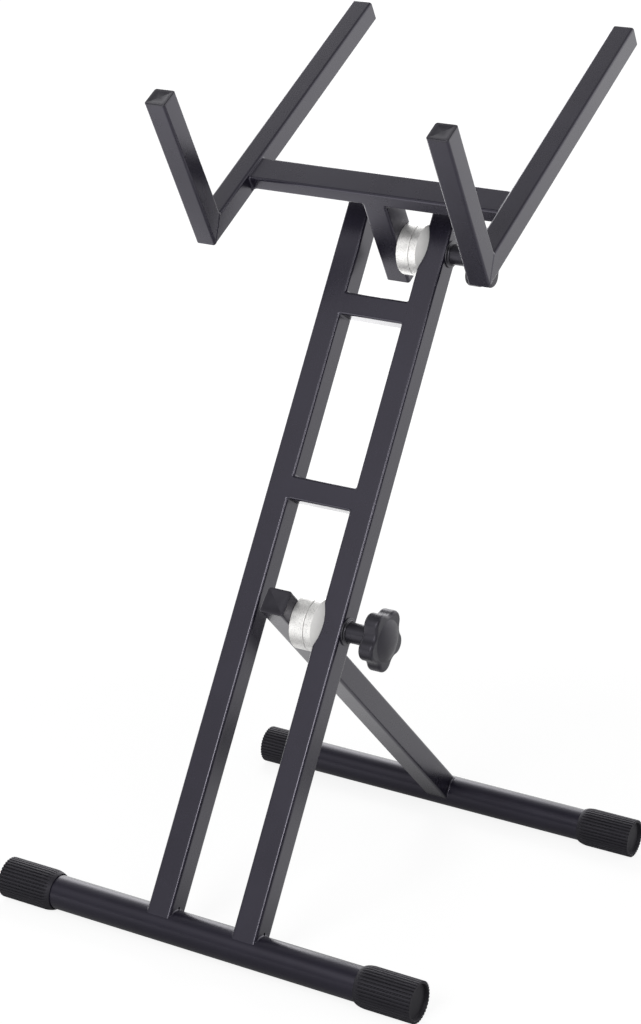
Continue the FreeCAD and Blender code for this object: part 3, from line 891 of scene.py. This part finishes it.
def rib_wave(turns, caps):
    """Groove depth round a cap: 0 on a crown, 1 on a groove's floor, with flanks eased as 3 t^2 - 2 t^3."""
    flank = 1 - caps.crown - caps.floor
    ramp = np.clip((zigzag(turns, caps.ribs) - caps.crown) / flank, 0, 1)
    return ramp * ramp * (3 - 2 * ramp)


def cap_surface(caps, size, outer, socket):
    """Ribbed cap along x, mouth at 0: outside, radius = min(envelope(x), outer - rib depth * wave(turn))."""
    disc_x = size - caps.recess
    bottom = disc_x - caps.end_wall
    mouth = outer - caps.taper_depth - caps.mouth_depth
    edge = caps.recess_round
    opening = caps.disc + caps.draft
    rim = size - caps.rim_round
    inside = [(bottom, 0), (bottom, socket), (caps.flare_length, socket), (0, socket + caps.flare_depth)]
    bevel = (caps.mouth_bevel, outer - caps.taper_depth / 2)
    envelope = [*bend((0, mouth), bevel, (caps.taper_length, outer), steps=10)]
    envelope += [(x, outer) for x in np.linspace(caps.taper_length, rim, CAP_POINTS)[1:]]
    envelope += arc((rim, outer - caps.rim_round), caps.rim_round, 90, 0)[1:]
    end = arc((size - edge, opening + edge), edge, 0, -90)
    end += arc((disc_x + edge, caps.disc - edge), edge, 90, 180) + [(disc_x, 0)]
    segments = caps.ribs * RIB_STEPS
    ribbed = outer - caps.rib_depth * rib_wave(round_turns(segments), caps)
    outside = [(x, np.minimum(radius, ribbed)) for x, radius in envelope]
    return revolve(inside + outside + end, segments)


def cap_pieces(settings):
    """Four end caps on the round feet."""
    for foot, axis, radius in (("front", FRONT_AXIS, FRONT_RADIUS), ("rear", REAR_AXIS, REAR_RADIUS)):
        socket = radius + settings.caps.play
        for side, sign in SIDES.items():
            node = foot + "_" + side + "_cap"
            low, high = STAND.extent(node)
            points = cap_surface(settings.caps, high[0] - low[0], (high[2] - low[2]) / 2, socket)
            mouth = low[0] if sign > 0 else high[0]
            local = LocalFrame((mouth, axis[1], axis[2]), np.diag((sign, sign, 1.0)))
            stand_in(node, "rubber", Surface(local.outward(points), False), "rubber")


# Plugs

def plug_surface(plugs, low, high, wall):
    """Plug on z: outlines that shrink and rise from the hollow shank over the round flange into the panel."""
    pinched, shank_corner, border_corner, panel_corner = 0.05 * MM, 0.4 * MM, 0.8 * MM, 0.5 * MM
    width, depth = (high - low)[:2]
    middle = (low + high)[:2] / 2
    foot, top = low[2], high[2]
    base = top - plugs.flange
    panel = top - plugs.panel_depth
    core = min(width, depth) / 2 - 2 * pinched
    shank = wall + plugs.shank_gap
    hollow = shank + plugs.shank_wall
    rows = [(core, base, pinched), (hollow, base, pinched), (hollow, foot, pinched),
            (shank, foot, shank_corner), (shank, base, shank_corner), (0, base, plugs.corner)]
    for turn in np.linspace(0, QUARTER, 6):
        inset = plugs.edge_round * (1 - math.cos(turn))
        rows.append((inset, top - plugs.edge_round * (1 - math.sin(turn)), plugs.corner - inset))
    rows += [(plugs.margin, top, border_corner), (plugs.margin + plugs.panel_slope, panel, panel_corner),
             (core, panel, pinched)]
    return np.array([
        lifted(rounded_rectangle(width - 2 * inset, depth - 2 * inset, corner)[0] + middle, height)
        for inset, height, corner in rows])


def plug_pieces(settings):
    """Plugs in the uprights, the leg, the stem, the arms and the lips."""
    below = LocalFrame(CRADLE.origin, np.diag((1.0, -1.0, -1.0)) @ CRADLE.axes)
    plans = [("left_upright_plug", LADDER), ("right_upright_plug", LADDER), ("leg_plug", LEG),
             ("tilt_stem_plug", below)]
    for side in SIDES:
        plans += [(side + "_arm_plug", ARMS), (side + "_lip_plug", CRADLE)]
    for node, local in plans:
        points = plug_surface(settings.plugs, *local.extent(node), settings.tubes.wall)
        stand_in(node, "moulding", Surface(local.outward(points), False), "plug")


# Knobs

def star_outline(knobs, phase):
    """Points and normals of the star: a round lobe and its tangent hollow, repeated round the axis."""
    lobe_points, hollow_points = 17, 15
    half_pitch = math.pi / knobs.lobes
    centre = knobs.tip - knobs.lobe_radius
    chord = centre * math.cos(half_pitch)
    gap = centre ** 2 + knobs.waist ** 2 - 2 * knobs.waist * chord - knobs.lobe_radius ** 2
    hollow = gap / (2 * (knobs.lobe_radius + chord - knobs.waist))
    lobe_centre = np.array((centre, 0.0))
    hollow_centre = directions(half_pitch) * (knobs.waist + hollow)
    to_hollow = hollow_centre - lobe_centre
    reach = math.atan2(to_hollow[1], to_hollow[0])
    lobe_normals = directions(np.linspace(-reach, reach, lobe_points))
    hollow_normals = directions(np.linspace(reach, 2 * half_pitch - reach, hollow_points)[1:-1])
    points = np.concatenate((lobe_centre + knobs.lobe_radius * lobe_normals,
                             hollow_centre - hollow * hollow_normals))
    normals = np.concatenate((lobe_normals, hollow_normals))
    turns = phase + np.arange(knobs.lobes) * 2 * half_pitch
    spin = np.array(((np.cos(turns), -np.sin(turns)), (np.sin(turns), np.cos(turns))))
    return [np.einsum("ijk,nj->kni", spin, flat).reshape(-1, 2) for flat in (points, normals)]


def knob_surface(knobs, phase, start, tip):
    """Knob along x: pocket, hub, lobed head with rounded edges and a domed front, as one closed grid."""
    outline, normals = star_outline(knobs, phase)
    circle = directions(np.arctan2(outline[:, 1], outline[:, 0]))
    front = tip - knobs.dome_height
    back = front - knobs.thickness
    edge, hub_edge, neck = knobs.edge_round, knobs.hub_round, knobs.neck_round
    pocket = start + knobs.pocket_depth
    shaft = [(pocket, 0), (pocket, knobs.pocket_radius), (start, knobs.pocket_radius)]
    shaft += arc((start + hub_edge, knobs.hub_radius - hub_edge), hub_edge, 180, 90, steps=4)
    shaft += arc((back - neck, knobs.hub_radius + neck), neck, 270, 360, steps=5)
    domed = dome(knobs.dome_radius, knobs.dome_height, front, steps=20)
    rounds = [(1 - math.cos(turn), 1 - math.sin(turn)) for turn in np.linspace(0, QUARTER, 8)]
    rows = [(x, circle * radius) for x, radius in shaft]
    rows += [(back + edge * rise, outline - edge * inset * normals) for rise, inset in rounds]
    rows += [(front - edge * drop, outline - edge * inset * normals) for inset, drop in rounds]
    rows += [(x, circle * radius) for x, radius in domed]
    return np.array([np.column_stack((np.full(len(flat), x), flat[:, 1], flat[:, 0])) for x, flat in rows])


def knob_pieces(settings):
    """The two star knobs; their threaded inserts keep the shape that they have."""
    knobs = settings.knobs
    for level, phase in (("lower", knobs.lower_phase), ("upper", knobs.upper_phase)):
        node = level + "_knob"
        local = CLUTCHES[level]
        low, high = local.extent(node)
        points = knob_surface(knobs, phase, low[0], high[0])
        stand_in(node, "moulding", Surface(local.outward(points), False), "knob")
        recoat(node + "_insert", level + "_zinc")


# Clutches

def rosette_radius(level):
    """Outer radius of a level's rosettes."""
    return CLUTCHES[level].extent(level + "_fixed_rosette")[1][2]


def square_radius(half_side, turns):
    """Distance from the axis to a square's outline at each angle: half side / max(|sin t|, |cos t|)."""
    return half_side / np.maximum(np.abs(np.sin(turns)), np.abs(np.cos(turns)))


def tooth_rows(rosettes, face, inward, turns):
    """Rows of a toothed clutch face from its rim to its bore: V grooves that deepen with the radius."""
    flank = np.clip((zigzag(turns, rosettes.teeth) - rosettes.land) / (1 - rosettes.land), 0, 1)
    groove = inward * rosettes.tooth_depth * flank
    start, end = rosettes.tooth_inner, rosettes.tooth_outer
    rows = [(face, end)]
    rows += [(face + groove * radius / end, radius) for radius in np.linspace(end, start, 4)]
    return rows + [(face, start), (face, rosettes.bore)]


def moving_rows(rosettes, level, turns, low, high):
    """Moving disc: a square boss in its tube, a rim with two round edges, and teeth on its right."""
    edge = rosettes.edge_round
    boss = square_radius(rosettes.moving_boss, turns)
    rim = rosette_radius(level) - edge
    tube = CLUTCH_TUBES[level]
    left = TUBES[tube].extent(tube)[1][0]
    rows = [(low, rosettes.bore), (low, boss), (left, boss)]
    rows += arc((left + edge, rim), edge, 180, 90, steps=4) + arc((high - edge, rim), edge, 90, 0, steps=4)
    return rows + tooth_rows(rosettes, high, -1, turns)


def fixed_rows(rosettes, level, turns, low, high):
    """Fixed disc: a square boss, a back domed as x = centre + sqrt(sphere^2 - r^2), and teeth on its left."""
    edge = rosettes.edge_round
    boss = square_radius(rosettes.fixed_boss, turns)
    radius = rosette_radius(level)
    sphere = dome_sphere(radius, rosettes.dome_depth)
    centre = INNER_WALL + rosettes.dome_depth - sphere
    sizes = [boss, *np.linspace(boss.max(), radius, DOME_POINTS)[1:]]
    rows = [(high, rosettes.bore), (high, boss)]
    rows += [(centre + np.sqrt(sphere ** 2 - size ** 2), size) for size in sizes]
    rows += arc((low + edge, radius - edge), edge, 90, 180, steps=4)
    return rows + tooth_rows(rosettes, low, 1, turns)


def rosette_pieces(settings):
    """Clutch discs: a moving one on the leg or stem, and a fixed one let into the right upright."""
    rosettes = settings.rosettes
    segments = rosettes.teeth * TOOTH_STEPS
    turns = round_turns(segments)
    for level in LEVELS:
        for kind, local, disc_rows in (("moving", TUBES[CLUTCH_TUBES[level]], moving_rows),
                                       ("fixed", CLUTCHES[level], fixed_rows)):
            node = level + "_" + kind + "_rosette"
            low, high = local.extent(node)
            surface = turned(local, disc_rows(rosettes, level, turns, low[0], high[0]), segments, True)
            stand_in(node, "turned", surface, level + "_aluminium")


def washer_pieces(settings):
    """Dished washers: a rounded rim that sweeps up to a ring groove and the seat under the knob's hub."""
    washers = settings.washers
    edge = washers.edge_round
    ring = washers.seat + 2 * washers.groove
    for level in LEVELS:
        node = level + "_washer"
        local = CLUTCHES[level]
        low, high = local.extent(node)
        face, top, outer = low[0], high[0], high[2]
        flange = face + washers.flange
        rows = [(face, washers.bore)] + arc((face + edge, outer - edge), edge, 180, 90, steps=4)
        rows += arc((flange - edge, outer - edge), edge, 90, 10, steps=5)
        rows += [*bend((flange, outer - 2 * edge), (flange, ring), (top, ring))]
        rows += [*bend((top, ring), (top - 2 * washers.groove, ring - washers.groove), (top, washers.seat))]
        rows += [(top, washers.bore)]
        stand_in(node, "dished", turned(local, rows, ROUND_STEPS, True), "black_steel")


def clutch_pieces(settings):
    """Rosettes and washers; the bolts keep the shape that they have."""
    rosette_pieces(settings)
    washer_pieces(settings)
    for level in LEVELS:
        recoat(level + "_pivot_bolt", "black_steel")


# Stage

def ray_kinds(bench):
    """1 for rays from the camera, and 1 for rays from a mirror-like surface or through a clear one."""
    path = bench.node("ShaderNodeLightPath").outputs
    return path["Is Camera Ray"], bench.math("MAXIMUM", path["Is Glossy Ray"], path["Is Transmission Ray"])


def diffuse(bench, grey):
    """Plain grey surface."""
    return bench.node("ShaderNodeBsdfDiffuse", {"Color": (grey, grey, grey, 1)}).outputs["BSDF"]


def glowing_floor(bench, strength, grey):
    """White glow over a grey diffuse floor that takes the stand's shadow."""
    light = bench.node("ShaderNodeEmission", {"Strength": strength}).outputs["Emission"]
    return bench.node("ShaderNodeAddShader", {0: light, 1: diffuse(bench, grey)}).outputs["Shader"]


def floor_material(stage):
    """Pale floor: white to the eye, with the stand's soft shadow.

    In glossy surfaces it glows with painted light and shade: a painted shadow beside each foot, painted shade
    under the stand, and a painted brighter floor on the left, above all behind, and far away on the right.
    """
    material = bpy.data.materials.new("pale_floor")
    material.use_nodes = True
    bench = NodeBench(material.node_tree)
    camera, glossy = ray_kinds(bench)
    place = bench.node("ShaderNodeTexCoord").outputs["Object"]
    parts = bench.split(place)
    # Painted shadow: the glossy glow drops close to each foot tube, where the tube's shadow would fall
    painted_foot_shadows = []
    for axis, least, reach in ((FRONT_AXIS, 0.12, 0.17), (REAR_AXIS, 0.15, 0.11)):
        distance = bench.math("ABSOLUTE", bench.math("SUBTRACT", parts["Y"], axis[1]))
        painted_foot_shadows.append(bench.spread(distance, low=least, high=1.0, from_low=0.0, from_high=reach))
    # Painted light and shade by place: brighter floor on the left, most of all behind, and far to the right;
    # dimmer under the stand
    left = bench.spread(parts["X"], stage.floor_left, stage.floor_middle, from_low=-0.55, from_high=-0.05)
    right = bench.spread(parts["X"], stage.floor_middle, stage.backdrop, from_low=0.3, from_high=4.0)
    corner = bench.spread(parts["X"], stage.floor_corner, 0.0, from_low=-0.4, from_high=-0.15)
    behind = bench.spread(parts["Y"], low=0.0, high=1.0, from_low=0.25, from_high=0.5)
    painted_floor_light = bench.math("MULTIPLY_ADD", corner, behind, bench.math("MAXIMUM", left, right))
    # Painted reflection: this glow is seen only in glossy surfaces, with the painted foot shadows taken out of it
    painted_glossy_floor_glow = bench.math("MULTIPLY", bench.math("MINIMUM", *painted_foot_shadows), painted_floor_light)
    away = bench.node("ShaderNodeVectorMath", {0: place}, operation="LENGTH").outputs["Value"]
    white = bench.spread(away, low=0.86, high=1.0, from_low=0.6, from_high=3.0)
    seen = bench.shader_mix(glossy, diffuse(bench, grey=0.75), glowing_floor(bench, painted_glossy_floor_glow, grey=0.3))
    seen = bench.shader_mix(camera, seen, glowing_floor(bench, white, grey=0.2))
    bench.node("ShaderNodeOutputMaterial", {"Surface": seen})
    return material


def make_floor(stage):
    """Round floor just under the stand: rings of points at growing radii."""
    gap = 0.1 * MM
    turns = round_turns(FLOOR_STEPS)
    radii = np.array((0.0, 0.5, 2.0, stage.floor_radius))[:, None]
    height = np.full((len(radii), len(turns)), CAD_BOX[0].z - gap)
    points = np.stack((radii * np.cos(turns), radii * np.sin(turns), height), axis=-1)
    floor = mesh_object("floor", [Surface(points, False)])
    floor.data.materials.append(floor_material(stage))


def make_world(stage):
    """White to the camera, even soft light, and in glossy surfaces a bright backdrop and a dim studio ahead.

    There the brightness goes with the ray's direction: behind and in front it rises with height and falls off
    overhead, and it drops away towards the unlit right-hand front.
    """
    world = bpy.data.worlds.new("studio")
    world.use_nodes = True
    bench = NodeBench(world.node_tree)
    camera, glossy = ray_kinds(bench)
    way = bench.node("ShaderNodeTexCoord").outputs["Generated"]
    parts = bench.split(way)
    height = parts["Z"]
    behind = bench.math(
        "MULTIPLY", bench.spread(height, stage.backdrop, stage.backdrop_top, from_low=0.0, from_high=0.25),
        bench.spread(height, low=1.0, high=0.3, from_low=0.55, from_high=0.85))
    ahead = bench.math(
        "MULTIPLY", bench.spread(height, stage.studio, stage.studio_top, from_low=0.0, from_high=0.62),
        bench.spread(height, low=1.0, high=0.1, from_low=0.66, from_high=0.82))
    turn = bench.spread(parts["Y"], low=0.0, high=1.0, from_low=-0.35, from_high=0.35,
                        interpolation_type="SMOOTHSTEP")
    around = bench.node("ShaderNodeMix", {"Factor": turn, "A": ahead, "B": behind}).outputs["Result"]
    unlit = bench.node("ShaderNodeVectorMath", {0: way, 1: stage.unlit}, operation="DOT_PRODUCT")
    dim = bench.spread(unlit.outputs["Value"], low=1.0, high=0.1, from_low=0.4, from_high=0.85,
                       interpolation_type="SMOOTHSTEP")
    white, even, studio = (
        bench.node("ShaderNodeBackground", {"Strength": strength}).outputs["Background"]
        for strength in (1.0, stage.ambient, bench.math("MULTIPLY", around, dim)))
    seen = bench.shader_mix(camera, bench.shader_mix(glossy, even, studio), white)
    bench.node("ShaderNodeOutputWorld", {"Surface": seen})
    bpy.context.scene.world = world


def make_light(name, watts):
    """Soft square lamp aimed at the middle of the stand."""
    place, size = LAMPS[name]
    middle = (CAD_BOX[0] + CAD_BOX[1]) / 2
    lamp = bpy.data.lights.new(name, "AREA")
    lamp.shape = "SQUARE"
    lamp.size = size
    lamp.energy = watts
    holder = bpy.data.objects.new(name, lamp)
    holder.location = place
    holder.rotation_mode = "QUATERNION"
    holder.rotation_quaternion = (middle - Vector(place)).to_track_quat("-Z", "Y")
    bpy.context.scene.collection.objects.link(holder)


def make_camera(stage):
    """Camera from its place, its direction round and above the stand, and its roll."""
    round_cos, round_sin = math.cos(stage.azimuth), math.sin(stage.azimuth)
    roll_cos, roll_sin = math.cos(stage.roll), math.sin(stage.roll)
    level = math.cos(stage.elevation)
    across = Vector((round_cos, round_sin, 0))
    back = Vector((round_sin * level, -round_cos * level, math.sin(stage.elevation)))
    above = back.cross(across)
    right = across * roll_cos + above * roll_sin
    upward = above * roll_cos - across * roll_sin
    lens = bpy.data.cameras.new("camera")
    lens.sensor_fit = "AUTO"
    lens.sensor_width = 36
    lens.lens = stage.lens
    lens.shift_y = stage.shift
    camera = bpy.data.objects.new("camera", lens)
    turn = Matrix((right, upward, back)).transposed().to_4x4()
    camera.matrix_world = Matrix.Translation(stage.eye) @ turn
    bpy.context.scene.collection.objects.link(camera)
    bpy.context.scene.camera = camera


def make_stage(stage):
    """Floor, world, lamps and camera."""
    make_floor(stage)
    make_world(stage)
    make_light("key", stage.key_power)
    make_light("side", stage.side_power)
    make_light("back_fill", stage.fill_power)
    make_camera(stage)
    bpy.context.scene.view_settings.view_transform = "Standard"


# Operators

class STAND_OT_finishes(bpy.types.Operator):
    """Mix the coats, plastics, rubber and metals"""
    bl_idname = "mixer_stand.finishes"
    bl_label = "Finishes"
    bl_options = {"REGISTER", "UNDO"}

    def execute(self, context):
        make_finishes(context.scene.mixer_stand.coats)
        return {"FINISHED"}


class STAND_OT_tubes(bpy.types.Operator):
    """Make the square tubes with their cuts"""
    bl_idname = "mixer_stand.tubes"
    bl_label = "Square tubes"
    bl_options = {"REGISTER", "UNDO"}

    def execute(self, context):
        tube_pieces(context.scene.mixer_stand)
        return {"FINISHED"}


class STAND_OT_feet(bpy.types.Operator):
    """Make the round foot tubes"""
    bl_idname = "mixer_stand.feet"
    bl_label = "Foot tubes"
    bl_options = {"REGISTER", "UNDO"}

    def execute(self, context):
        foot_pieces(context.scene.mixer_stand)
        return {"FINISHED"}


class STAND_OT_welds(bpy.types.Operator):
    """Make the welds between the tubes"""
    bl_idname = "mixer_stand.welds"
    bl_label = "Welds"
    bl_options = {"REGISTER", "UNDO"}

    def execute(self, context):
        weld_pieces(context.scene.mixer_stand)
        return {"FINISHED"}


class STAND_OT_caps(bpy.types.Operator):
    """Make the ribbed rubber caps"""
    bl_idname = "mixer_stand.caps"
    bl_label = "Rubber caps"
    bl_options = {"REGISTER", "UNDO"}

    def execute(self, context):
        cap_pieces(context.scene.mixer_stand)
        return {"FINISHED"}


class STAND_OT_plugs(bpy.types.Operator):
    """Make the plastic tube plugs"""
    bl_idname = "mixer_stand.plugs"
    bl_label = "Plugs"
    bl_options = {"REGISTER", "UNDO"}

    def execute(self, context):
        plug_pieces(context.scene.mixer_stand)
        return {"FINISHED"}


class STAND_OT_knobs(bpy.types.Operator):
    """Make the star knobs and finish their inserts"""
    bl_idname = "mixer_stand.knobs"
    bl_label = "Star knobs"
    bl_options = {"REGISTER", "UNDO"}

    def execute(self, context):
        knob_pieces(context.scene.mixer_stand)
        return {"FINISHED"}


class STAND_OT_clutches(bpy.types.Operator):
    """Make the rosettes and washers and finish the bolts"""
    bl_idname = "mixer_stand.clutches"
    bl_label = "Clutches"
    bl_options = {"REGISTER", "UNDO"}

    def execute(self, context):
        clutch_pieces(context.scene.mixer_stand)
        return {"FINISHED"}


class STAND_OT_stage(bpy.types.Operator):
    """Make the floor, light and camera"""
    bl_idname = "mixer_stand.stage"
    bl_label = "Stage"
    bl_options = {"REGISTER", "UNDO"}

    def execute(self, context):
        make_stage(context.scene.mixer_stand.stage)
        return {"FINISHED"}


OPERATORS = (STAND_OT_finishes, STAND_OT_tubes, STAND_OT_feet, STAND_OT_welds, STAND_OT_caps, STAND_OT_plugs,
             STAND_OT_knobs, STAND_OT_clutches, STAND_OT_stage)


class STAND_PT_panel(bpy.types.Panel):
    """Sidebar list of the stand's steps"""
    bl_idname = "STAND_PT_panel"
    bl_label = "Mixer stand"
    bl_space_type = "VIEW_3D"
    bl_region_type = "UI"
    bl_category = "Mixer stand"

    def draw(self, context):
        for operator in OPERATORS:
            self.layout.operator(operator.bl_idname)


CLASSES = (TubeSettings, WeldSettings, PlugSettings, CapSettings, RosetteSettings, WasherSettings,
           KnobSettings, CoatSettings, StageSettings, StandSettings) + OPERATORS + (STAND_PT_panel,)


def register():
    """Add the stand's settings, operators and panel."""
    for cls in CLASSES:
        bpy.utils.register_class(cls)
    bpy.types.Scene.mixer_stand = group(StandSettings, "Mixer stand")


def unregister():
    """Take the stand's settings, operators and panel away."""
    del bpy.types.Scene.mixer_stand
    for cls in reversed(CLASSES):
        bpy.utils.unregister_class(cls)


def main():
    """Make every piece in order."""
    register()
    for step in ("finishes", "tubes", "feet", "welds", "caps", "plugs", "knobs", "clutches", "stage"):
        getattr(bpy.ops.mixer_stand, step)()


if __name__ == "__main__":
    main()
